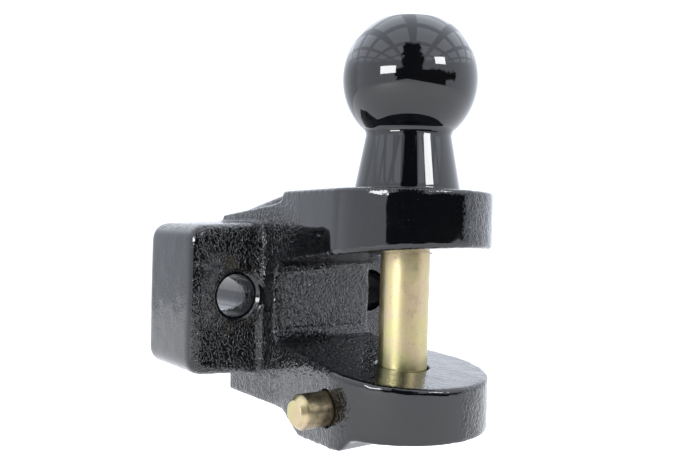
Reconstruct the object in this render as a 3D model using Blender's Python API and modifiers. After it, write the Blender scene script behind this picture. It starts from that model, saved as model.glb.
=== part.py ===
"""Trailer hitch: a cast jaw-and-ball hitch on a two-bolt flange.

+X points from the bolted flange to the nose, +Z points up along the ball.
The origin is the middle of the flange's back face, level with the bolt holes.
"""
from math import acos, asin, atan2, cos, hypot, pi, sin

import bmesh
import bpy
from mathutils import Vector

MM = 0.001

# Tow ball and its neck
BALL_RADIUS = 25.0 * MM
BALL_TOP_HEIGHT = 20.8 * MM
BALL_TOP_EDGE = 1.6 * MM
BALL_CENTRE_ABOVE_ARM = 41.3 * MM
NECK_TOP_RADIUS = 15.9 * MM
NECK_FOOT_RADIUS = 19.5 * MM
NECK_FILLET = 2.0 * MM
SPIGOT_RADIUS = 11.0 * MM
SPIGOT_LENGTH = 8.0 * MM

# Arms of the jaw, seen from above
PIN_X = 102.5 * MM
NOSE_RADIUS = 31.5 * MM
ROOT_HALF_WIDTH = 24.8 * MM
THROAT_X = 51.8 * MM

# Heights of the arms, from the bolt line
ARM_TOP_Z = 43.0 * MM
UPPER_UNDER_ROOT_Z = 14.4 * MM
UPPER_UNDER_NOSE_Z = 23.7 * MM
LOWER_TOP_ROOT_Z = -17.6 * MM
LOWER_TOP_NOSE_Z = -24.6 * MM
LOWER_UNDER_NOSE_Z = -42.8 * MM
ROOT_BOTTOM_Z = -43.8 * MM
BOSS_BOTTOM_Z = -50.6 * MM
BOSS_FRONT_Z = -48.4 * MM
BOSS_BACK_X = 68.8 * MM
BOSS_FRONT_X = 110.0 * MM
ROOT_TOP_BACK_X = 6.0 * MM
ROOT_BOTTOM_BACK_X = 16.0 * MM
ROOT_TOP_BACK_Z = 33.2 * MM
ROOT_TOP_FRONT_Z = 38.0 * MM
RIB_HALF_WIDTH = 19.5 * MM
RIB_BACK_X = 14.0 * MM
RIB_BACK_Z = 35.2 * MM
THROAT_FILLET = 5.0 * MM

# Bolted flange
FLANGE_THICKNESS = 41.5 * MM
FLANGE_HALF_WIDTH = 56.5 * MM
FLANGE_TOP_Z = 29.0 * MM
FLANGE_BOTTOM_Z = -31.4 * MM
FLANGE_TAPER = 1.5 * MM
FLANGE_CORNER_RADIUS = 7.0 * MM
FLANGE_EDGE_RADIUS = 3.6 * MM
COLLAR_FILLET = 3.6 * MM
BOLT_HOLE_RADIUS = 8.8 * MM
BOLT_HALF_SPACING = 35.5 * MM
BOLT_CHAMFER = 1.6 * MM

# Coupling pin
PIN_RADIUS = 9.15 * MM
PIN_TOP_Z = 32.0 * MM
PIN_FOOT_Z = -46.8 * MM
PIN_CHAMFER = 1.4 * MM
PIN_BORE_RADIUS = PIN_RADIUS + 0.3 * MM
PIN_BORE_TOP_Z = PIN_TOP_Z + 0.6 * MM
RING_Z = 26.5 * MM
RING_WIRE_RADIUS = 0.9 * MM
RING_GAP = 0.06 * MM

# Lock pin, which crosses behind the coupling pin's axis
LOCK_RADIUS = 6.2 * MM
LOCK_X = PIN_X - 6.0 * MM
LOCK_Z = -35.0 * MM
LOCK_OUTER_Y = -44.0 * MM
LOCK_TRAVEL = 12.0 * MM
LOCK_CHAMFER = 1.9 * MM
LOCK_CHAMFER_LENGTH = 2.6 * MM
LOCK_BORE_RADIUS = LOCK_RADIUS + 0.3 * MM
LOCK_INNER_Y = -(PIN_RADIUS + 0.6 * MM)
LOCK_BORE_END_Y = LOCK_INNER_Y + LOCK_TRAVEL + 1.0 * MM

# Stop dowel and friction plug, both pushed up into the boss from below
STOP_RADIUS = 2.5 * MM
STOP_Y = -26.0 * MM
STOP_DEPTH = 1.6 * MM
SLOT_GAP = 0.4 * MM
PLUG_RADIUS = 2.7 * MM
PLUG_LENGTH = 2.2 * MM
PLUG_Y = -16.0 * MM
SCREW_LENGTH = 2.6 * MM
SCREW_RECESS = 0.5 * MM
HEX_ACROSS_FLATS = 3.0 * MM
HEX_DEPTH = 1.4 * MM
SPRING_WIRE_RADIUS = 0.3 * MM
SPRING_COIL_RADIUS = 1.8 * MM
SPRING_PITCH = 1.0 * MM
FIT_GAP = 0.25 * MM
CONTACT_GAP = 0.06 * MM

ROUND_STEPS = 64
SMALL_STEPS = 32


def clear_scene():
    for old in list(bpy.data.objects):
        bpy.data.objects.remove(old, do_unlink=True)


def new_collection(name):
    group = bpy.data.collections.new(name)
    bpy.context.scene.collection.children.link(group)
    return group


def material(name, colour, metallic, roughness):
    result = bpy.data.materials.new(name)
    result.use_nodes = True
    shader = result.node_tree.nodes["Principled BSDF"]
    shader.inputs["Base Color"].default_value = (*colour, 1.0)
    shader.inputs["Metallic"].default_value = metallic
    shader.inputs["Roughness"].default_value = roughness
    return result


def hide_cutter(cutter):
    cutter.hide_render = True
    cutter.display_type = "WIRE"


def combine(target, tool, operation):
    """Add an exact boolean with another object to the target."""
    step = target.modifiers.new(operation.title(), "BOOLEAN")
    step.operation = operation
    step.solver = "EXACT"
    step.object = tool


def turned(name, group, profile, steps, closed=False):
    """Revolve (radius, height) points about local Z."""
    mesh = bpy.data.meshes.new(name)
    points = [(radius, 0.0, height) for radius, height in profile]
    edges = [(i, i + 1) for i in range(len(points) - 1)]
    if closed:
        edges.append((len(points) - 1, 0))
    mesh.from_pydata(points, edges, [])
    result = bpy.data.objects.new(name, mesh)
    group.objects.link(result)
    screw = result.modifiers.new("Turn", "SCREW")
    screw.axis = "Z"
    screw.angle = 2.0 * pi
    screw.steps = steps
    screw.render_steps = steps
    screw.use_merge_vertices = True
    screw.merge_threshold = 0.00001
    return result


def prism(name, group, outline, depth):
    """Extrude a flat closed outline to both sides of local Z = 0."""
    curve = bpy.data.curves.new(name, "CURVE")
    curve.dimensions = "2D"
    curve.fill_mode = "BOTH"
    curve.extrude = depth / 2.0
    spline = curve.splines.new("POLY")
    spline.points.add(len(outline) - 1)
    for point, (across, along) in zip(spline.points, outline):
        point.co = (across, along, 0.0, 1.0)
    spline.use_cyclic_u = True
    shell = bpy.data.objects.new(name + "_outline", curve)
    group.objects.link(shell)
    mesh = bpy.data.meshes.new_from_object(shell)
    bpy.data.objects.remove(shell, do_unlink=True)
    edit = bmesh.new()
    edit.from_mesh(mesh)
    bmesh.ops.remove_doubles(edit, verts=edit.verts, dist=0.000001)
    bmesh.ops.dissolve_limit(edit, angle_limit=0.01, verts=edit.verts, edges=edit.edges)
    bmesh.ops.recalc_face_normals(edit, faces=edit.faces)
    edit.to_mesh(mesh)
    edit.free()
    mesh.name = name
    result = bpy.data.objects.new(name, mesh)
    group.objects.link(result)
    return result


def cylinder(name, group, radius, start, end, steps=ROUND_STEPS):
    """A plain cylinder from one point to another."""
    start = Vector(start)
    axis = Vector(end) - start
    profile = [(0.0, axis.length), (radius, axis.length), (radius, 0.0), (0.0, 0.0)]
    result = turned(name, group, profile, steps)
    result.location = start
    result.rotation_euler = axis.to_track_quat("Z", "Y").to_euler()
    return result


def arc(centre, radius, first, last, count):
    """Points along an arc, angles in radians."""
    across, along = centre
    turn = [first + (last - first) * i / count for i in range(count + 1)]
    return [(across + radius * cos(a), along + radius * sin(a)) for a in turn]


def nose_outline():
    """The arms from above: straight root, tangent flanks, round nose."""
    root_x = THROAT_X
    reach = hypot(PIN_X - root_x, ROOT_HALF_WIDTH)
    tangent = atan2(ROOT_HALF_WIDTH, root_x - PIN_X) - acos(NOSE_RADIUS / reach)
    nose = arc((PIN_X, 0.0), NOSE_RADIUS, -tangent, tangent, 48)
    near_side = [(-root_x, -ROOT_HALF_WIDTH), (root_x, -ROOT_HALF_WIDTH)]
    far_side = [(root_x, ROOT_HALF_WIDTH), (-root_x, ROOT_HALF_WIDTH)]
    return near_side + nose + far_side


def jaw_profile():
    """The body from the side, as (x, z): root, two arms and the lock boss."""
    nose_x = PIN_X + NOSE_RADIUS + 4.0 * MM
    step_x = THROAT_X + 3.5 * MM
    top = [(ROOT_TOP_BACK_X, FLANGE_BOTTOM_Z / 2.0), (ROOT_TOP_BACK_X, ROOT_TOP_BACK_Z)]
    top += [(THROAT_X - 2.0 * MM, ROOT_TOP_FRONT_Z), (step_x, ROOT_TOP_FRONT_Z + 1.8 * MM)]
    top += [(step_x + 2.0 * MM, ARM_TOP_Z), (nose_x, ARM_TOP_Z)]
    fillet = THROAT_FILLET
    upper = arc((THROAT_X + fillet, UPPER_UNDER_ROOT_Z - fillet), fillet, pi / 2, pi, 6)
    lower = arc((THROAT_X + fillet, LOWER_TOP_ROOT_Z + fillet), fillet, pi, 1.5 * pi, 6)
    mouth = [(nose_x, UPPER_UNDER_NOSE_Z)] + upper + lower + [(nose_x, LOWER_TOP_NOSE_Z)]
    bottom = [(nose_x, LOWER_UNDER_NOSE_Z), (BOSS_FRONT_X, LOWER_UNDER_NOSE_Z - 0.8 * MM)]
    bottom += [(BOSS_FRONT_X - 5.0 * MM, BOSS_FRONT_Z), (BOSS_BACK_X + 6.0 * MM, BOSS_BOTTOM_Z)]
    bottom += [(BOSS_BACK_X - 8.0 * MM, ROOT_BOTTOM_Z), (ROOT_BOTTOM_BACK_X, ROOT_BOTTOM_Z)]
    bottom += [(ROOT_BOTTOM_BACK_X, FLANGE_BOTTOM_Z / 2.0)]
    return top + mouth + bottom


def rib_profile():
    """The raised rib behind the upper arm, from the side, as (x, z)."""
    crest_x = THROAT_X - 2.0 * MM
    inside_x = THROAT_X + 9.0 * MM
    low = ROOT_TOP_BACK_Z - 8.0 * MM
    back_x = RIB_BACK_X - 4.0 * MM
    ramp = [(RIB_BACK_X, RIB_BACK_Z), (crest_x, ARM_TOP_Z - 0.3 * MM), (inside_x, ARM_TOP_Z - 0.3 * MM)]
    front = [(inside_x + 2.0 * MM, ARM_TOP_Z - 2.0 * MM), (inside_x + 2.0 * MM, low)]
    return ramp + front + [(back_x, low), (back_x, RIB_BACK_Z - 2.0 * MM)]


def flange_outline():
    """The flange from behind, as (y, z): ears that taper a little, with rounded corners."""
    corner = FLANGE_CORNER_RADIUS
    side = FLANGE_HALF_WIDTH - corner
    high = FLANGE_TOP_Z - corner
    low = FLANGE_BOTTOM_Z + corner
    middle = ROOT_HALF_WIDTH - 4.0 * MM
    points = arc((side, high), corner, 0.0, pi / 2, 8)
    points += [(middle, FLANGE_TOP_Z + FLANGE_TAPER), (-middle, FLANGE_TOP_Z + FLANGE_TAPER)]
    points += arc((-side, high), corner, pi / 2, pi, 8)
    points += arc((-side, low), corner, pi, 1.5 * pi, 8)
    points += [(-middle, FLANGE_BOTTOM_Z - FLANGE_TAPER), (middle, FLANGE_BOTTOM_Z - FLANGE_TAPER)]
    points += arc((side, low), corner, 1.5 * pi, 2.0 * pi, 8)
    return points


def collar_outline():
    """The concave fillets between the flange's front and the root's sides."""
    fillet = COLLAR_FILLET
    front = FLANGE_THICKNESS - 1.0 * MM
    side = ROOT_HALF_WIDTH - 1.0 * MM
    near_fillet = arc((FLANGE_THICKNESS + fillet, -ROOT_HALF_WIDTH - fillet), fillet, pi, pi / 2, 6)
    far_fillet = arc((FLANGE_THICKNESS + fillet, ROOT_HALF_WIDTH + fillet), fillet, -pi / 2, -pi, 6)
    inner = FLANGE_THICKNESS + fillet
    near_side = [(front, -ROOT_HALF_WIDTH - fillet)] + near_fillet + [(inner, -side)]
    return near_side + [(inner, side)] + far_fillet + [(front, ROOT_HALF_WIDTH + fillet)]


def edge_round(target, width, segments, angle):
    bevel = target.modifiers.new("Edges", "BEVEL")
    bevel.width = width
    bevel.segments = segments
    bevel.limit_method = "ANGLE"
    bevel.angle_limit = angle
    bevel.use_clamp_overlap = False


def build_jaw(part, cutters):
    """Upper arm, throat, lower arm and boss as one block."""
    jaw = prism("hitch_body", part, jaw_profile(), 4.0 * NOSE_RADIUS)
    jaw.rotation_euler = (pi / 2, 0.0, 0.0)
    plan = prism("jaw_plan", cutters, nose_outline(), 200.0 * MM)
    combine(jaw, plan, "INTERSECT")
    hide_cutter(plan)
    return jaw


def build_flange(cutters):
    """The thick two-bolt flange."""
    flange = prism("flange_block", cutters, flange_outline(), FLANGE_THICKNESS)
    flange.rotation_euler = (pi / 2, 0.0, pi / 2)
    flange.location = (FLANGE_THICKNESS / 2.0, 0.0, 0.0)
    edge_round(flange, FLANGE_EDGE_RADIUS, 4, 0.62)
    return flange


def bolt_cutter(cutters, name, y):
    """A bolt hole with a chamfer at the front and at the back."""
    bore = BOLT_HOLE_RADIUS
    wide = bore + BOLT_CHAMFER
    length = FLANGE_THICKNESS
    spare = 5.0 * MM
    profile = [(0.0, length + spare), (wide, length + spare), (wide, length)]
    profile += [(bore, length - BOLT_CHAMFER), (bore, BOLT_CHAMFER)]
    profile += [(wide, 0.0), (wide, -spare), (0.0, -spare)]
    cutter = turned(name, cutters, profile, ROUND_STEPS)
    cutter.rotation_euler = (0.0, pi / 2, 0.0)
    cutter.location = (0.0, y, 0.0)
    return cutter


def body_cutters(cutters):
    """Every bore in the body."""
    ball_bottom = ARM_TOP_Z - SPIGOT_LENGTH - FIT_GAP
    low = BOSS_BOTTOM_Z - 10.0 * MM
    lock_inside = (LOCK_X, LOCK_BORE_END_Y, LOCK_Z)
    lock_outside = (LOCK_X, -NOSE_RADIUS - 20.0 * MM, LOCK_Z)
    stop_top = (LOCK_X, STOP_Y, LOCK_Z)
    plug_top = (LOCK_X, PLUG_Y, LOCK_Z)
    return [
        bolt_cutter(cutters, "near_bolt_bore", -BOLT_HALF_SPACING),
        bolt_cutter(cutters, "far_bolt_bore", BOLT_HALF_SPACING),
        cylinder("spigot_bore", cutters, SPIGOT_RADIUS + FIT_GAP,
                 (PIN_X, 0.0, ball_bottom), (PIN_X, 0.0, ARM_TOP_Z + 10.0 * MM)),
        cylinder("pin_bore", cutters, PIN_BORE_RADIUS, (PIN_X, 0.0, low), (PIN_X, 0.0, PIN_BORE_TOP_Z)),
        cylinder("lock_bore", cutters, LOCK_BORE_RADIUS, lock_inside, lock_outside),
        cylinder("stop_bore", cutters, STOP_RADIUS + FIT_GAP, (LOCK_X, STOP_Y, low), stop_top, SMALL_STEPS),
        cylinder("plug_bore", cutters, PLUG_RADIUS + FIT_GAP, (LOCK_X, PLUG_Y, low), plug_top, SMALL_STEPS),
    ]


def build_body(part, cutters, enamel):
    body = build_jaw(part, cutters)
    flange = build_flange(cutters)
    collar_height = FLANGE_TOP_Z - FLANGE_BOTTOM_Z - 2.0 * FLANGE_EDGE_RADIUS
    collar = prism("collar_block", cutters, collar_outline(), collar_height)
    collar.location.z = (FLANGE_TOP_Z + FLANGE_BOTTOM_Z) / 2.0
    rib = prism("rib_block", cutters, rib_profile(), 2.0 * RIB_HALF_WIDTH)
    rib.rotation_euler = (pi / 2, 0.0, 0.0)
    edge_round(rib, 1.5 * MM, 2, 0.62)
    combine(body, flange, "UNION")
    combine(body, collar, "UNION")
    combine(body, rib, "UNION")
    hidden = [flange, collar, rib]
    for cutter in body_cutters(cutters):
        combine(body, cutter, "DIFFERENCE")
        hidden.append(cutter)
    for cutter in hidden:
        hide_cutter(cutter)
    body.data.materials.append(enamel)
    return body


def ball_profile():
    """Half outline of the ball, neck and spigot, from the top flat down."""
    centre = BALL_CENTRE_ABOVE_ARM
    edge = BALL_TOP_EDGE
    start = asin((BALL_TOP_HEIGHT - edge) / BALL_RADIUS)
    rim = BALL_RADIUS * cos(start)
    top = centre + BALL_TOP_HEIGHT
    neck_angle = -acos((NECK_TOP_RADIUS + 0.8 * MM) / BALL_RADIUS)
    points = [(0.0, top), (rim - 2.6 * edge, top), (rim - 1.4 * edge, top - 0.14 * edge)]
    points += [(rim - 0.6 * edge, top - 0.48 * edge)]
    points += arc((0.0, centre), BALL_RADIUS, start, neck_angle, 34)
    neck_top = centre + BALL_RADIUS * sin(neck_angle) - NECK_FILLET
    points += [(NECK_TOP_RADIUS + 0.15 * MM, neck_top + 0.9 * MM), (NECK_TOP_RADIUS, neck_top)]
    points += [(NECK_FOOT_RADIUS, 2.6 * MM), (NECK_FOOT_RADIUS + 0.5 * MM, 1.0 * MM)]
    points += [(NECK_FOOT_RADIUS + 1.8 * MM, CONTACT_GAP)]
    points += [(SPIGOT_RADIUS, CONTACT_GAP), (SPIGOT_RADIUS, 1.0 * MM - SPIGOT_LENGTH)]
    points += [(SPIGOT_RADIUS - 1.0 * MM, -SPIGOT_LENGTH), (0.0, -SPIGOT_LENGTH)]
    return points


def build_ball(part, enamel):
    ball = turned("tow_ball", part, ball_profile(), 96)
    ball.location = (PIN_X, 0.0, ARM_TOP_Z)
    ball.data.materials.append(enamel)
    return ball


def build_coupling_pin(part, cutters, zinc):
    """The vertical pin, with a ring groove and a notch for the lock pin."""
    radius = PIN_RADIUS
    groove = radius - 2.0 * RING_WIRE_RADIUS + 0.1 * MM
    half = RING_WIRE_RADIUS + 0.2 * MM
    profile = [(0.0, PIN_TOP_Z), (radius - PIN_CHAMFER, PIN_TOP_Z), (radius, PIN_TOP_Z - PIN_CHAMFER)]
    profile += [(radius, RING_Z + half), (groove, RING_Z + half)]
    profile += [(groove, RING_Z - half), (radius, RING_Z - half)]
    profile += [(radius, PIN_FOOT_Z + PIN_CHAMFER), (radius - PIN_CHAMFER, PIN_FOOT_Z), (0.0, PIN_FOOT_Z)]
    pin = turned("coupling_pin", part, profile, ROUND_STEPS)
    pin.location = (PIN_X, 0.0, 0.0)
    notch = cylinder("pin_notch", cutters, LOCK_BORE_RADIUS,
                     (LOCK_X, -30.0 * MM, LOCK_Z), (LOCK_X, 30.0 * MM, LOCK_Z))
    combine(pin, notch, "DIFFERENCE")
    hide_cutter(notch)
    pin.data.materials.append(zinc)
    return pin


def build_pin_ring(part, rubber):
    """The rubber ring that stops the free coupling pin from dropping out."""
    wire = RING_WIRE_RADIUS
    centre = PIN_BORE_RADIUS - RING_GAP - wire
    turn = [pi / 2 - 2.0 * pi * i / 12 for i in range(12)]
    profile = [(centre + wire * cos(a), wire * sin(a)) for a in turn]
    ring = turned("pin_ring", part, profile, 48, closed=True)
    ring.location = (PIN_X, 0.0, RING_Z)
    ring.data.materials.append(rubber)
    return ring


def build_lock_pin(part, cutters, zinc):
    """The push-in lock pin, with a slot underneath for the stop dowel."""
    length = LOCK_INNER_Y - LOCK_OUTER_Y
    radius = LOCK_RADIUS
    profile = [(0.0, length), (radius - LOCK_CHAMFER, length), (radius, length - LOCK_CHAMFER_LENGTH)]
    profile += [(radius, 1.0 * MM), (radius - 1.0 * MM, 0.0), (0.0, 0.0)]
    lock = turned("lock_pin", part, profile, 48)
    lock.location = (LOCK_X, LOCK_INNER_Y, LOCK_Z)
    lock.rotation_euler = (pi / 2, 0.0, 0.0)
    reach = STOP_RADIUS + SLOT_GAP
    slot_start = STOP_Y + reach
    slot_end = STOP_Y - reach - LOCK_TRAVEL
    bpy.ops.mesh.primitive_cube_add(size=1.0)
    slot = bpy.context.object
    slot.name = "lock_slot"
    slot.scale = (2.0 * reach, slot_start - slot_end, 4.0 * MM)
    slot_top = LOCK_Z - LOCK_RADIUS + STOP_DEPTH + SLOT_GAP
    slot.location = (LOCK_X, (slot_start + slot_end) / 2.0, slot_top - 2.0 * MM)
    for group in list(slot.users_collection):
        group.objects.unlink(slot)
    cutters.objects.link(slot)
    combine(lock, slot, "DIFFERENCE")
    hide_cutter(slot)
    lock.data.materials.append(zinc)
    return lock


def build_stop_dowel(part, steel):
    """A dowel in the boss whose tip rides in the lock pin's slot."""
    top = LOCK_Z - LOCK_RADIUS + STOP_DEPTH
    foot = BOSS_BOTTOM_Z + SCREW_RECESS
    radius = STOP_RADIUS
    bevel = 0.4 * MM
    profile = [(0.0, top), (radius - bevel, top), (radius, top - bevel)]
    profile += [(radius, foot + bevel), (radius - bevel, foot), (0.0, foot)]
    dowel = turned("stop_dowel", part, profile, SMALL_STEPS)
    dowel.location = (LOCK_X, STOP_Y, 0.0)
    dowel.data.materials.append(steel)
    return dowel


def build_friction_plug(part, nylon):
    """A nylon plug that rubs on the lock pin so it stays where it is put."""
    top = LOCK_Z - LOCK_RADIUS - CONTACT_GAP
    foot = top - PLUG_LENGTH
    radius = PLUG_RADIUS
    bevel = 0.4 * MM
    profile = [(0.0, top), (radius - bevel, top), (radius, top - bevel), (radius, foot), (0.0, foot)]
    plug = turned("friction_plug", part, profile, SMALL_STEPS)
    plug.location = (LOCK_X, PLUG_Y, 0.0)
    plug.data.materials.append(nylon)
    return plug


def build_friction_spring(part, steel):
    """The small coil spring between the plug and its screw."""
    wire = SPRING_WIRE_RADIUS
    high = LOCK_Z - LOCK_RADIUS - CONTACT_GAP - PLUG_LENGTH - CONTACT_GAP - wire
    low = BOSS_BOTTOM_Z + SCREW_RECESS + SCREW_LENGTH + CONTACT_GAP + wire
    curve = bpy.data.curves.new("friction_spring", "CURVE")
    curve.dimensions = "3D"
    curve.bevel_depth = wire
    curve.bevel_resolution = 2
    curve.use_fill_caps = True
    turns = (high - low) / SPRING_PITCH
    count = int(turns * 16)
    spline = curve.splines.new("POLY")
    spline.points.add(count)
    for i, point in enumerate(spline.points):
        angle = 2.0 * pi * turns * i / count
        height = low + (high - low) * i / count
        point.co = (SPRING_COIL_RADIUS * cos(angle), SPRING_COIL_RADIUS * sin(angle), height, 1.0)
    spring = bpy.data.objects.new("friction_spring", curve)
    part.objects.link(spring)
    spring.location = (LOCK_X, PLUG_Y, 0.0)
    curve.materials.append(steel)
    return spring


def build_set_screw(part, cutters, steel):
    """The hex-socket screw that closes the plug's bore."""
    foot = BOSS_BOTTOM_Z + SCREW_RECESS
    top = foot + SCREW_LENGTH
    radius = PLUG_RADIUS
    bevel = 0.4 * MM
    profile = [(0.0, top), (radius - bevel, top), (radius, top - bevel)]
    profile += [(radius, foot + bevel), (radius - bevel, foot), (0.0, foot)]
    screw = turned("set_screw", part, profile, SMALL_STEPS)
    screw.location = (LOCK_X, PLUG_Y, 0.0)
    corner = HEX_ACROSS_FLATS / (2.0 * cos(pi / 6))
    socket = cylinder("hex_socket", cutters, corner, (LOCK_X, PLUG_Y, foot - 2.0 * MM),
                      (LOCK_X, PLUG_Y, foot + HEX_DEPTH), 6)
    combine(screw, socket, "DIFFERENCE")
    hide_cutter(socket)
    screw.data.materials.append(steel)
    return screw


def main():
    clear_scene()
    part = new_collection("trailer_hitch")
    cutters = new_collection("cutters")
    enamel = material("black_enamel", (0.012, 0.012, 0.014), 0.0, 0.16)
    ball_enamel = material("ball_black_enamel", (0.010, 0.010, 0.012), 0.0, 0.08)
    zinc = material("yellow_zinc_steel", (0.62, 0.52, 0.28), 1.0, 0.30)
    lock_zinc = material("lock_yellow_zinc_steel", (0.62, 0.52, 0.28), 1.0, 0.34)
    steel = material("plain_steel", (0.42, 0.42, 0.44), 1.0, 0.35)
    nylon = material("white_nylon", (0.75, 0.74, 0.70), 0.0, 0.5)
    rubber = material("black_rubber", (0.02, 0.02, 0.02), 0.0, 0.7)
    build_body(part, cutters, enamel)
    build_ball(part, ball_enamel)
    build_coupling_pin(part, cutters, zinc)
    build_pin_ring(part, rubber)
    build_lock_pin(part, cutters, lock_zinc)
    build_stop_dowel(part, steel)
    build_friction_plug(part, nylon)
    build_friction_spring(part, steel)
    build_set_screw(part, cutters, steel)


main()
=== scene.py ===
"""Looks of the trailer hitch: black enamelled casting and ball, and yellow zinc-plated pins."""
from math import acos, asin, cos, degrees, pi, radians, sin

import bmesh
import bpy
import numpy as np
from mathutils import Matrix, Vector, noise


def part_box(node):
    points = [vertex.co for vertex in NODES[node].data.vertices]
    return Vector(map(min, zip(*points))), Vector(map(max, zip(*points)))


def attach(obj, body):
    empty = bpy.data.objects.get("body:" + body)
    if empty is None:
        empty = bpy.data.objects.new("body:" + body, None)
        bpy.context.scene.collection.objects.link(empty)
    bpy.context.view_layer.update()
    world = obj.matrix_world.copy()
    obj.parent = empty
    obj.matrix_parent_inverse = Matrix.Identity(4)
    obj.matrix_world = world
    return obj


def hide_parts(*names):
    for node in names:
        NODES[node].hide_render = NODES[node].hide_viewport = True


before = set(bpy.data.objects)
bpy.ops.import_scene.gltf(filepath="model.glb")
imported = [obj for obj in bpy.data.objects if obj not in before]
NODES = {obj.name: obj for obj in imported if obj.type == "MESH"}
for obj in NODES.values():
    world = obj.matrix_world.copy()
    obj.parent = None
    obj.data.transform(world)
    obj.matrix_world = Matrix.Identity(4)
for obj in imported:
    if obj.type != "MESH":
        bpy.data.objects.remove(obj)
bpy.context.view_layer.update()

MM = 0.001

# Places taken from the CAD frame
BALL_LOW, BALL_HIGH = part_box("tow_ball")
LOCK_LOW, LOCK_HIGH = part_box("lock_pin")
PIN_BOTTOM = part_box("coupling_pin")[0].z
ARM_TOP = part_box("hitch_body")[1].z
BALL_RADIUS = (BALL_HIGH.x - BALL_LOW.x) / 2
AXIS_X = (BALL_HIGH.x + BALL_LOW.x) / 2
LOCK_X = (LOCK_LOW.x + LOCK_HIGH.x) / 2
LOCK_Z = (LOCK_LOW.z + LOCK_HIGH.z) / 2

# Shape of the ball and its neck
BALL_TOP_HEIGHT = 20.8 * MM
BALL_TOP_ROUND = 2.2 * MM
NECK_TOP_RADIUS = 15.9 * MM
NECK_FOOT_RADIUS = 19.5 * MM
NECK_FILLET = 1.6 * MM
FOOT_FLARE = 1.2 * MM
FOOT_DEPTH = 2.0 * MM

# Shape of the casting, and how it is rounded off
THROAT_X = 51.8 * MM
EAR_FRONT_X = 41.5 * MM
BOLT_Y = 35.5 * MM
BOLT_RADIUS = 8.8 * MM
CAST_VOXEL = 0.65 * MM
SMOOTH_ROUNDS = 9
SMOOTH_SHARE = 0.6
EDGE_BREAK_ROUNDS = 2
EDGE_BREAK_SHARE = 0.5

# Unevenness of the faces: broad heaves where thick paint sags, small pits where the sand was coarse
HEAVE_WIDTH = 7.0 * MM
HEAVE_HEIGHT = 0.03 * MM
SAG_HEIGHT = 0.10 * MM
PIT_WIDTH = 3.2 * MM
PIT_DEPTH = 0.018 * MM
GRAIN_DEPTH = 0.035 * MM

# Machined edges stay sharp up to the first distance, and the casting is rounded past the second
PIN_HOLE_EDGE = (10.6 * MM, 12.6 * MM)
BOLT_HOLE_EDGE = (BOLT_RADIUS + 2.2 * MM, BOLT_RADIUS + 4.0 * MM)
LOCK_HOLE_EDGE = (7.2 * MM, 9.0 * MM)
BACK_FACE_EDGE = (0.5 * MM, 1.5 * MM)

# How rough the paint is over the casting, from 0 to 1
FLANK_GRAIN = 0.40
EAR_ROOT_GRAIN = 0.45
NOSE_GRAIN = 0.45
THROAT_GRAIN = 0.9
ARM_TOP_GRAIN = 0.15
EAR_SIDE_GRAIN = 0.06
EAR_FACE_EXTRA = 0.85
JAW_FLOOR_GRAIN = 0.14
JAW_FLOOR_ROOT_EXTRA = 0.7
JAW_CEILING_GRAIN = 0.35
JAW_CEILING_ROOT_EXTRA = 0.5
LOCK_EXTRA = 0.28
BOLT_SEAT_SHARE = 0.06
GRAIN_BLUR_ROUNDS = 6

# Where each zone of roughness starts and ends
ARM_ROOT_FADE = (66.0 * MM, 104.0 * MM)
EAR_ROOT_FADE = (60.0 * MM, 78.0 * MM)
FLANK_DROP = (-8.0 * MM, 6.0 * MM)
THROAT_START = (48.0 * MM, 50.5 * MM)
THROAT_FADE = (THROAT_X + 4.0 * MM, THROAT_X + 12.0 * MM)
NOSE_START = (AXIS_X + 4.0 * MM, AXIS_X + 14.0 * MM)
NOSE_FAR_SIDE = (-4.0 * MM, 3.0 * MM)
EAR_SIDE = (52.5 * MM, 55.0 * MM)
LOCK_RUN = (11.0 * MM, 17.0 * MM)
BOLT_SEAT = (BOLT_RADIUS + 1.2 * MM, BOLT_RADIUS + 2.4 * MM)
LEVEL_FACE = (0.55, 0.85)
JAW_FLOOR_Z = -10.0 * MM
JAW_CEILING_Z = 5.0 * MM
ARM_TOP_SKIN = 1.5 * MM

# Colours
DEEP_BLACK = (0.0010, 0.0012, 0.0017, 1.0)
CAST_BLACK = (0.0020, 0.0020, 0.0022, 1.0)
BALL_BLACK = (0.0018, 0.0018, 0.0021, 1.0)
ZINC_GOLD = (0.40, 0.325, 0.19, 1.0)
ZINC_GREEN = (0.37, 0.34, 0.17, 1.0)
ZINC_PINK = (0.40, 0.295, 0.235, 1.0)
ZINC_SPECK = (0.05, 0.04, 0.03, 1.0)
ZINC_STAIN = (0.055, 0.048, 0.032, 1.0)

# Camera
CAMERA_AZIMUTH = 52.04
CAMERA_PITCH = 0.47
CAMERA_ROLL = 1.54
CAMERA_PLACE = Vector((AXIS_X + 0.20491, -0.18627, ARM_TOP - 0.01384))
CAMERA_LENS = 38.2
CAMERA_SENSOR = 36.0

# Studio: a white tent with roof panes, and a dark opening behind the camera. Its angles are in
# degrees, to the right of the camera and above level, as seen from the middle of the studio.
MIDDLE = Vector((AXIS_X, 0.0, 0.05))
TENT_LIGHT = 1.9
TENT_COLOUR = (0.90, 0.945, 1.04, 1.0)
PANE_LIGHT = 1.1
PANE_RISE = (0.30, 0.42)
ROOM_DARK = 0.03
BACKDROP = 1.2
TALL_OPENING = (-22, 20, -30, 55)
LOW_OPENING = (-30, 76, -30, 10)
LOW_PATCH = (56, 80, -12, -2)
LEFT_WALL_TURN = (-98, -112)
LEFT_WALL_RISE = (28, 12)
LEFT_WALL_LOSS = 0.30
LAMP_DISTANCE = 1.0
FLOOR_Z = PIN_BOTTOM - 95.0 * MM
FLOOR_WIDTH = 2.2


def smooth_step(value, low, high):
    t = np.clip((value - low) / (high - low), 0.0, 1.0)
    return t * t * (3.0 - 2.0 * t)


# ---------------------------------------------------------------- materials

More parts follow.
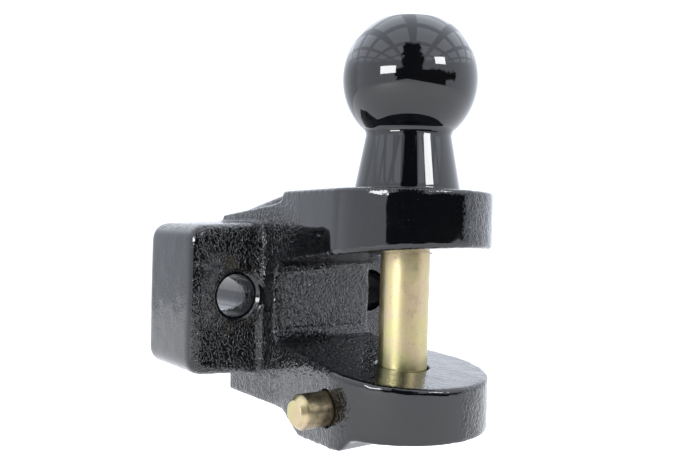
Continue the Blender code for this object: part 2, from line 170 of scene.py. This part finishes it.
class Graph:
    """Small helper that adds and links shader nodes in a material or the world."""

    def __init__(self, owner, shader):
        owner.use_nodes = True
        self.owner = owner
        self.tree = owner.node_tree
        self.shader = self.tree.nodes[shader]

    def fill(self, socket, value):
        if isinstance(value, bpy.types.NodeSocket):
            self.tree.links.new(value, socket)
        else:
            socket.default_value = value

    def node(self, kind, inputs=None, **settings):
        made = self.tree.nodes.new(kind)
        for key, value in settings.items():
            setattr(made, key, value)
        for key, value in (inputs or {}).items():
            self.fill(made.inputs[key], value)
        return made

    def set(self, **values):
        for key, value in values.items():
            self.fill(self.shader.inputs[key.replace("_", " ")], value)

    def position(self, scale=(1.0, 1.0, 1.0)):
        where = self.node("ShaderNodeTexCoord").outputs["Object"]
        return self.node("ShaderNodeMapping", {"Vector": where, "Scale": scale}).outputs["Vector"]

    def noise(self, where, scale, detail=2.0, roughness=0.5, distortion=0.0):
        values = {"Vector": where, "Scale": scale, "Detail": detail,
                  "Roughness": roughness, "Distortion": distortion}
        return self.node("ShaderNodeTexNoise", values).outputs["Fac"]

    def spread(self, value, low, high, new_low=0.0, new_high=1.0):
        values = {"Value": value, "From Min": low, "From Max": high,
                  "To Min": new_low, "To Max": new_high}
        return self.node("ShaderNodeMapRange", values).outputs["Result"]

    def ramp(self, value, low, high):
        values = {"Value": value, "From Min": low, "From Max": high}
        return self.node("ShaderNodeMapRange", values, interpolation_type="SMOOTHSTEP").outputs["Result"]

    def math(self, operation, *values):
        return self.node("ShaderNodeMath", dict(enumerate(values)), operation=operation).outputs[0]

    def dot(self, first, second):
        values = {0: first, 1: second}
        return self.node("ShaderNodeVectorMath", values, operation="DOT_PRODUCT").outputs["Value"]

    def mix_colour(self, factor, first, second):
        values = {0: factor, 6: first, 7: second}
        return self.node("ShaderNodeMix", values, data_type="RGBA").outputs[2]

    def mix_number(self, factor, first, second):
        values = {0: factor, 2: first, 3: second}
        return self.node("ShaderNodeMix", values, data_type="FLOAT").outputs[0]

    def bump(self, height, distance, strength=1.0, normal=None):
        values = {"Height": height, "Distance": distance, "Strength": strength}
        if normal is not None:
            values["Normal"] = normal
        return self.node("ShaderNodeBump", values).outputs["Normal"]


def new_material(name):
    return Graph(bpy.data.materials.new(name), "Principled BSDF")


def add_black_paint(g, cloud, tone, roughness, dust, dust_share, dust_tone):
    """Gloss black: two close tones in soft clouds, and a few grey specks of dust."""
    share = g.spread(cloud, 0.3, 0.7)
    base = g.mix_colour(share, DEEP_BLACK, tone)
    speck = (dust_tone, dust_tone, dust_tone, 1.0)
    colour = g.mix_colour(g.math("MULTIPLY", dust, dust_share), base, speck)
    g.set(Base_Color=colour, Roughness=g.spread(cloud, 0.3, 0.7, *roughness), IOR=1.5)


def cast_enamel():
    """Thick gloss black enamel over a rough sand casting; the grain attribute says how rough."""
    g = new_material("cast_black_enamel")
    where = g.position()
    grain = g.node("ShaderNodeAttribute", attribute_name="grain").outputs["Fac"]
    peel = g.noise(where, 220.0, 2.0, 0.4)
    worms = g.noise(g.position((1.0, 1.0, 0.75)), 640.0, 1.3, 0.5, 1.1)
    coarse = g.math("MULTIPLY", g.spread(worms, 0.42, 0.58), grain)
    peel_normal = g.bump(peel, 0.05 * MM, 0.6)
    dust = g.spread(g.noise(where, 2300.0, 1.0), 0.74, 0.80)
    add_black_paint(g, g.noise(where, 60.0), CAST_BLACK, (0.03, 0.07), dust, 0.35, 0.12)
    g.set(Normal=g.bump(coarse, 0.30 * MM, 1.0, peel_normal))
    return g.owner


def smooth_enamel():
    """The same enamel over the turned ball and neck, with only a faint orange peel."""
    g = new_material("ball_gloss_enamel")
    where = g.position()
    peel = g.noise(where, 260.0, 2.0, 0.45)
    dust = g.spread(g.noise(where, 2000.0, 1.0), 0.76, 0.82)
    add_black_paint(g, g.noise(where, 45.0), BALL_BLACK, (0.02, 0.05), dust, 0.3, 0.14)
    g.set(Normal=g.bump(peel, 0.02 * MM, 0.35))
    return g.owner


def yellow_zinc(name, speck, stain_from=None):
    """Yellow-passivated zinc: straw gold with pink and green clouds and dark specks."""
    g = new_material(name)
    where = g.position()
    clouds = g.noise(g.position((1.0, 1.0, 0.35)), 55.0, 3.0, 0.55, 0.4)
    tint = g.noise(where, 120.0, 3.0, 0.6)
    fine = g.noise(where, 1500.0, 2.0, 0.6)
    gold = g.mix_colour(g.spread(clouds, 0.38, 0.62), ZINC_GOLD, ZINC_GREEN)
    pink = g.mix_colour(g.math("MULTIPLY", g.spread(tint, 0.45, 0.68), 0.65), gold, ZINC_PINK)
    dark = g.spread(fine, 0.345, 0.29)
    colour = g.mix_colour(g.math("MULTIPLY", dark, speck), pink, ZINC_SPECK)
    if stain_from is not None:
        along = g.node("ShaderNodeSeparateXYZ", {0: where}).outputs["Y"]
        stain = g.spread(along, stain_from, stain_from + 0.8 * MM, 0.0, 0.75)
        blotch = g.spread(g.noise(where, 420.0, 3.0, 0.6), 0.35, 0.62, 0.55, 1.0)
        colour = g.mix_colour(g.math("MULTIPLY", stain, blotch), colour, ZINC_STAIN)
    rough = g.spread(g.noise(where, 300.0, 3.0, 0.6), 0.3, 0.7, 0.30, 0.44)
    g.set(Base_Color=colour, Metallic=1.0, Roughness=rough, Normal=g.bump(fine, 0.03 * MM, 0.5))
    return g.owner


def plain_finish(name, dark, light, metallic, roughness, scale):
    """A small hidden part: two close tones, a little roughness change and a fine bump."""
    g = new_material(name)
    where = g.position()
    cloud = g.spread(g.noise(where, scale, 3.0, 0.6), 0.35, 0.65)
    normal = g.bump(g.noise(where, scale * 6.0), 0.02 * MM, 0.4)
    g.set(Base_Color=g.mix_colour(cloud, dark, light), Metallic=metallic,
          Roughness=g.spread(cloud, 0.0, 1.0, *roughness), Normal=normal)
    return g.owner


def use(obj, material):
    obj.data.materials.clear()
    obj.data.materials.append(material)


# ---------------------------------------------------------------- meshes

def add_object(name, data):
    obj = bpy.data.objects.new(name, data)
    bpy.context.scene.collection.objects.link(obj)
    return obj


def copy_node(name, node):
    return add_object(name, NODES[node].data.copy())


def apply_modifiers(obj):
    bpy.context.view_layer.update()
    shown = obj.evaluated_get(bpy.context.evaluated_depsgraph_get())
    obj.data = bpy.data.meshes.new_from_object(shown)
    obj.modifiers.clear()


def shade_smooth(mesh):
    mesh.polygons.foreach_set("use_smooth", np.ones(len(mesh.polygons), bool))


# ---------------------------------------------------------------- casting

def read_rows(collection, field, width, kind=float):
    """A field of every vertex or edge as an array with one row each."""
    flat = np.empty(len(collection) * width, kind)
    collection.foreach_get(field, flat)
    return flat.reshape(-1, width)


def neighbour_mean(values, pairs, count):
    total = np.zeros_like(values)
    np.add.at(total, pairs[:, 0], values[pairs[:, 1]])
    np.add.at(total, pairs[:, 1], values[pairs[:, 0]])
    return total / count[:, None]


def from_bolts(points):
    """Distance of each point from each bolt's axis."""
    return [np.hypot(points[:, 1] - side * BOLT_Y, points[:, 2]) for side in (-1.0, 1.0)]


def from_lock(points):
    """Distance from the lock pin's axis, which only the near half of the casting has."""
    x, y, z = points.T
    return np.where(y < 0, np.hypot(x - LOCK_X, z - LOCK_Z), 1.0)


def free_to_round(points):
    """1 where the casting may be rounded off, 0 close to a drilled hole."""
    x, y, z = points.T
    keep = smooth_step(np.hypot(x - AXIS_X, y), *PIN_HOLE_EDGE)
    for bolt in from_bolts(points):
        keep = np.minimum(keep, smooth_step(bolt, *BOLT_HOLE_EDGE))
    keep = np.minimum(keep, smooth_step(from_lock(points), *LOCK_HOLE_EDGE))
    return np.minimum(keep, smooth_step(x, *BACK_FACE_EDGE))


def grain_of(points, facing):
    """How rough each spot of the casting is, from 0 to 1."""
    x, y, z = points.T
    root = 1.0 - smooth_step(x, *ARM_ROOT_FADE)
    nose = smooth_step(x, *NOSE_START) * smooth_step(y, *NOSE_FAR_SIDE)
    flank = FLANK_GRAIN * root * smooth_step(-z, *FLANK_DROP) + NOSE_GRAIN * nose
    flank = np.maximum(flank, EAR_ROOT_GRAIN * (1.0 - smooth_step(x, *EAR_ROOT_FADE)))
    throat = (1.0 - smooth_step(x, *THROAT_FADE)) * smooth_step(x, *THROAT_START)
    grain = np.maximum(flank, THROAT_GRAIN * throat)
    jaw_floor = smooth_step(facing[:, 2], *LEVEL_FACE) * (z < JAW_FLOOR_Z)
    jaw_ceiling = smooth_step(-facing[:, 2], *LEVEL_FACE) * (z > JAW_CEILING_Z)
    grain = np.where(jaw_floor > 0.3, JAW_FLOOR_GRAIN + JAW_FLOOR_ROOT_EXTRA * root, grain)
    grain = np.where(jaw_ceiling > 0.3, JAW_CEILING_GRAIN + JAW_CEILING_ROOT_EXTRA * root, grain)
    grain = np.where(z > ARM_TOP - ARM_TOP_SKIN, ARM_TOP_GRAIN, grain)
    ear_grain = EAR_FACE_EXTRA * (1.0 - smooth_step(np.abs(y), *EAR_SIDE)) + EAR_SIDE_GRAIN
    grain = np.where(x < EAR_FRONT_X + 1.0 * MM, ear_grain, grain)
    grain = grain + LOCK_EXTRA * (1.0 - smooth_step(from_lock(points), *LOCK_RUN))
    for bolt in from_bolts(points):
        grain = grain * (BOLT_SEAT_SHARE + (1.0 - BOLT_SEAT_SHARE) * smooth_step(bolt, *BOLT_SEAT))
    return np.clip(grain, 0.0, 1.0)


def lumps(points, size, seed):
    offset = Vector((seed * 13.7, seed * 7.3, seed * 3.1))
    return np.array([noise.noise(Vector(p) / size + offset) for p in points])


def unevenness(points, facing, grain):
    """How far each spot stands out from the smooth shape."""
    sag = smooth_step(facing[:, 2], 0.5, 0.8) * (points[:, 2] < 0.0) + 0.4 * (points[:, 0] < EAR_FRONT_X)
    heaves = (HEAVE_HEIGHT + SAG_HEIGHT * sag) * lumps(points, HEAVE_WIDTH, 1)
    pits = (PIT_DEPTH + GRAIN_DEPTH * grain) * lumps(points, PIT_WIDTH, 2)
    return heaves + pits


def make_casting():
    """The body's CAD solid as a sand casting: rounded edges, filled corners, uneven faces."""
    cast = copy_node("hitch_casting", "hitch_body")
    cast.data.materials.clear()
    remesh = cast.modifiers.new("Voxels", "REMESH")
    remesh.mode = "VOXEL"
    remesh.voxel_size = CAST_VOXEL
    apply_modifiers(cast)
    mesh = cast.data
    points = read_rows(mesh.vertices, "co", 3)
    pairs = read_rows(mesh.edges, "vertices", 2, np.int64)
    count = np.bincount(pairs.ravel(), minlength=len(points)).astype(float)
    keep = free_to_round(points)[:, None]
    for i in range(SMOOTH_ROUNDS):
        step = neighbour_mean(points, pairs, count) - points
        weight = np.maximum(keep, EDGE_BREAK_SHARE) if i < EDGE_BREAK_ROUNDS else keep
        points = points + SMOOTH_SHARE * step * weight
    mesh.vertices.foreach_set("co", points.ravel())
    mesh.update()
    facing = read_rows(mesh.vertices, "normal", 3)
    grain = grain_of(points, facing)
    for _ in range(GRAIN_BLUR_ROUNDS):
        grain = 0.5 * grain + 0.5 * neighbour_mean(grain[:, None], pairs, count)[:, 0]
    points = points + facing * (unevenness(points, facing, grain) * keep[:, 0])[:, None]
    mesh.vertices.foreach_set("co", points.ravel())
    attribute = mesh.attributes.new("grain", "FLOAT", "POINT")
    attribute.data.foreach_set("value", grain.astype(np.float32))
    shade_smooth(mesh)
    mesh.update()
    use(cast, cast_enamel())
    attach(cast, "body")
    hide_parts("hitch_body")


# ---------------------------------------------------------------- ball and pins

def arc_points(x, z, radius, start, end, steps):
    """Points on an arc about (x, z), with angles in degrees from +X."""
    angles = [radians(start + (end - start) * i / steps) for i in range(steps + 1)]
    return [(x + radius * cos(a), z + radius * sin(a)) for a in angles]


def bend_points(start, corner, end, steps):
    """Points on a curve that leaves start towards the corner and reaches end from it."""
    start, corner, end = Vector(start), Vector(corner), Vector(end)
    points = []
    for i in range(steps + 1):
        t = i / steps
        points.append(tuple(start * (1 - t) ** 2 + corner * 2 * t * (1 - t) + end * t * t))
    return points


def lathe(name, profile, x, segments=192):
    """A smooth turned surface about the upright axis at x."""
    bm = bmesh.new()
    rings = []
    for radius, z in profile:
        if radius < 1e-7:
            rings.append([bm.verts.new((x, 0.0, z))])
        else:
            turns = [2 * pi * i / segments for i in range(segments)]
            rings.append([bm.verts.new((x + radius * cos(t), radius * sin(t), z)) for t in turns])
    for low, high in zip(rings, rings[1:]):
        for i in range(segments):
            j = (i + 1) % segments
            corners = [low[i % len(low)], low[j % len(low)], high[j % len(high)], high[i % len(high)]]
            unique = [v for k, v in enumerate(corners) if v not in corners[:k]]
            bm.faces.new(unique)
    bmesh.ops.recalc_face_normals(bm, faces=bm.faces)
    data = bpy.data.meshes.new(name)
    bm.to_mesh(data)
    bm.free()
    shade_smooth(data)
    return add_object(name, data)


def make_ball():
    """The ball and its neck as one turned and painted surface, with a soft top edge and root."""
    centre = BALL_HIGH.z - BALL_TOP_HEIGHT
    edge = BALL_TOP_ROUND
    edge_angle = degrees(asin((BALL_TOP_HEIGHT - edge) / (BALL_RADIUS - edge)))
    edge_x = (BALL_RADIUS - edge) * cos(radians(edge_angle))
    joint = -degrees(acos(NECK_TOP_RADIUS / BALL_RADIUS))
    joint_z = centre + BALL_RADIUS * sin(radians(joint))
    fillet_low = joint_z - NECK_FILLET
    fillet_end = radians(joint + 4.0)
    foot_x, foot_z = NECK_FOOT_RADIUS + FOOT_FLARE, ARM_TOP + FOOT_FLARE
    profile = [(0.0, ARM_TOP - FOOT_DEPTH), (foot_x, ARM_TOP - FOOT_DEPTH)]
    profile += arc_points(foot_x, foot_z, FOOT_FLARE, -90.0, -180.0, 9)
    neck_steps = 14
    for i in range(1, neck_steps):
        t = i / neck_steps
        profile.append((NECK_FOOT_RADIUS + (NECK_TOP_RADIUS - NECK_FOOT_RADIUS) * t,
                        foot_z + (fillet_low - foot_z) * t))
    profile += bend_points((NECK_TOP_RADIUS, fillet_low), (NECK_TOP_RADIUS, joint_z + 0.2 * NECK_FILLET),
                           (BALL_RADIUS * cos(fillet_end), centre + BALL_RADIUS * sin(fillet_end)), 8)
    profile += arc_points(0.0, centre, BALL_RADIUS, joint + 6.0, edge_angle, 80)
    profile += arc_points(edge_x, BALL_HIGH.z - edge, edge, edge_angle, 90.0, 8)[1:]
    profile += [(edge_x * 0.66, BALL_HIGH.z), (edge_x * 0.33, BALL_HIGH.z), (0.0, BALL_HIGH.z)]
    ball = lathe("painted_ball", profile, AXIS_X)
    use(ball, smooth_enamel())
    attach(ball, "body")
    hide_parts("tow_ball")


def soften(node, name, body, material, width):
    """A copy of a machined CAD piece with its edges broken and its round faces shaded smooth."""
    obj = copy_node(name, node)
    bm = bmesh.new()
    bm.from_mesh(obj.data)
    bmesh.ops.remove_doubles(bm, verts=bm.verts, dist=0.002 * MM)
    bmesh.ops.dissolve_limit(bm, angle_limit=radians(0.5), verts=bm.verts, edges=bm.edges)
    bm.to_mesh(obj.data)
    bm.free()
    shade_smooth(obj.data)
    obj.data.set_sharp_from_angle(angle=radians(28))
    bevel = obj.modifiers.new("Broken edge", "BEVEL")
    bevel.harden_normals = True
    bevel.width = width
    bevel.segments = 3
    bevel.limit_method = "ANGLE"
    bevel.angle_limit = radians(32)
    apply_modifiers(obj)
    use(obj, material)
    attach(obj, body)
    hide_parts(node)


def make_pins():
    zinc = yellow_zinc("pin_yellow_zinc", 0.7)
    soften("coupling_pin", "plated_coupling_pin", "pin", zinc, 0.35 * MM)
    stained = yellow_zinc("lock_yellow_zinc", 0.5, LOCK_LOW.y + 1.6 * MM)
    soften("lock_pin", "plated_lock_pin", "lock", stained, 0.12 * MM)


def finish_hidden_parts():
    steel = plain_finish("ground_steel", (0.36, 0.36, 0.38, 1.0), (0.46, 0.46, 0.48, 1.0),
                         1.0, (0.25, 0.40), 300.0)
    nylon = plain_finish("nylon", (0.66, 0.64, 0.58, 1.0), (0.74, 0.72, 0.67, 1.0),
                         0.0, (0.45, 0.6), 200.0)
    rubber = plain_finish("rubber", (0.012, 0.012, 0.012, 1.0), (0.03, 0.03, 0.03, 1.0),
                          0.0, (0.6, 0.8), 300.0)
    for name in ("stop_dowel", "friction_spring", "set_screw"):
        use(NODES[name], steel)
    use(NODES["friction_plug"], nylon)
    use(NODES["pin_ring"], rubber)


# ---------------------------------------------------------------- stage

def facing_frame():
    """Level directions of the studio: away from the camera, and to its right."""
    turn = radians(CAMERA_AZIMUTH)
    return Vector((-sin(turn), cos(turn), 0.0)), Vector((cos(turn), sin(turn), 0.0))


def make_camera():
    turn, tip, roll = radians(CAMERA_AZIMUTH), radians(CAMERA_PITCH), radians(CAMERA_ROLL)
    forward = Vector((-sin(turn) * cos(tip), cos(turn) * cos(tip), -sin(tip)))
    right = facing_frame()[1]
    up = right.cross(forward)
    tilted_right = right * cos(roll) + up * sin(roll)
    tilted_up = up * cos(roll) - right * sin(roll)
    data = bpy.data.cameras.new("photo_camera")
    data.lens = CAMERA_LENS
    data.sensor_width = CAMERA_SENSOR
    data.clip_start = 0.01
    matrix = Matrix((tilted_right, tilted_up, -forward)).transposed().to_4x4()
    matrix.translation = CAMERA_PLACE
    camera = add_object("photo_camera", data)
    camera.matrix_world = matrix
    bpy.context.scene.camera = camera


def add_lamp(name, side, height, width, depth, power):
    """A soft lamp at an angle to the right of the camera and one above level, facing the hitch."""
    away, right = facing_frame()
    turn, rise = radians(side), radians(height)
    level = right * sin(turn) - away * cos(turn)
    place = MIDDLE + (level * cos(rise) + Vector((0.0, 0.0, sin(rise)))) * LAMP_DISTANCE
    data = bpy.data.lights.new(name, "AREA")
    data.shape = "RECTANGLE"
    data.size = width
    data.size_y = depth
    data.energy = power
    lamp = add_object(name, data)
    lamp.location = place
    lamp.rotation_euler = (MIDDLE - place).to_track_quat("-Z", "Y").to_euler()


def make_tent():
    """World light: an even white tent, brighter roof panes, and a dark opening behind the camera."""
    world = bpy.data.worlds.new("white_tent")
    bpy.context.scene.world = world
    g = Graph(world, "Background")
    away, right = facing_frame()
    direction = g.node("ShaderNodeTexCoord").outputs["Generated"]
    ahead = g.dot(direction, away)
    aside = g.dot(direction, right)
    up = g.node("ShaderNodeSeparateXYZ", {0: direction}).outputs["Z"]
    wobble = g.math("SUBTRACT", g.noise(direction, 7.0, 3.0), 0.5)
    turn = g.math("ARCTAN2", aside, g.math("MULTIPLY", ahead, -1.0))
    turn = g.math("ADD", turn, g.math("MULTIPLY", wobble, 0.35))
    rise = g.math("ADD", g.math("ARCSINE", up), g.math("MULTIPLY", wobble, 0.25))

    def between(value, low, high, soft):
        return g.math("MULTIPLY", g.ramp(value, radians(low), radians(low) + soft),
                      g.ramp(value, radians(high), radians(high) - soft))

    def window(left_edge, right_edge, low, high, soft):
        return g.math("MULTIPLY", between(turn, left_edge, right_edge, soft),
                      between(rise, low, high, soft))

    low_part = g.math("MULTIPLY", window(*LOW_OPENING, 0.05),
                      g.math("SUBTRACT", 1.0, window(*LOW_PATCH, 0.04)))
    opening = g.math("MAXIMUM", low_part, window(*TALL_OPENING, 0.10))
    height = g.math("MAXIMUM", up, 0.15)
    flat = g.node("ShaderNodeCombineXYZ", {"X": g.math("DIVIDE", aside, height),
                                           "Y": g.math("DIVIDE", ahead, height)}).outputs[0]
    panes = g.node("ShaderNodeTexBrick", {
        "Vector": flat, "Color1": (1, 1, 1, 1), "Color2": (0.8, 0.8, 0.8, 1), "Mortar": (0, 0, 0, 1),
        "Scale": 1.0, "Mortar Size": 0.11, "Mortar Smooth": 0.25, "Brick Width": 0.68,
        "Row Height": 0.80}, offset=0.0).outputs["Color"]
    roof = g.math("MULTIPLY", panes, g.ramp(up, *PANE_RISE))
    light = g.math("MULTIPLY_ADD", roof, PANE_LIGHT, TENT_LIGHT)
    left_wall = g.math("MULTIPLY", g.ramp(turn, *map(radians, LEFT_WALL_TURN)),
                       g.ramp(rise, *map(radians, LEFT_WALL_RISE)))
    light = g.math("MULTIPLY", light,
                   g.math("SUBTRACT", 1.0, g.math("MULTIPLY", left_wall, LEFT_WALL_LOSS)))
    reflected = g.mix_number(opening, light, ROOM_DARK)
    seen = g.node("ShaderNodeLightPath").outputs["Is Camera Ray"]
    g.set(Color=TENT_COLOUR, Strength=g.mix_number(seen, reflected, BACKDROP))


def make_floor():
    bpy.ops.mesh.primitive_plane_add(size=FLOOR_WIDTH, location=(0.0, 0.0, FLOOR_Z))
    floor = bpy.context.object
    floor.name = "floor"
    g = new_material("white_floor")
    g.set(Base_Color=(0.78, 0.77, 0.75, 1.0), Roughness=0.9,
          Emission_Color=(1.0, 0.98, 0.96, 1.0), Emission_Strength=0.22)
    use(floor, g.owner)


def main():
    bpy.context.scene.view_settings.view_transform = "Standard"
    make_tent()
    make_floor()
    add_lamp("left_lamp", -41, 9, 0.46, 0.20, 6.0)
    add_lamp("right_lamp", 46, 24, 0.30, 0.18, 3.4)
    make_camera()
    make_casting()
    make_ball()
    make_pins()
    finish_hidden_parts()


main()
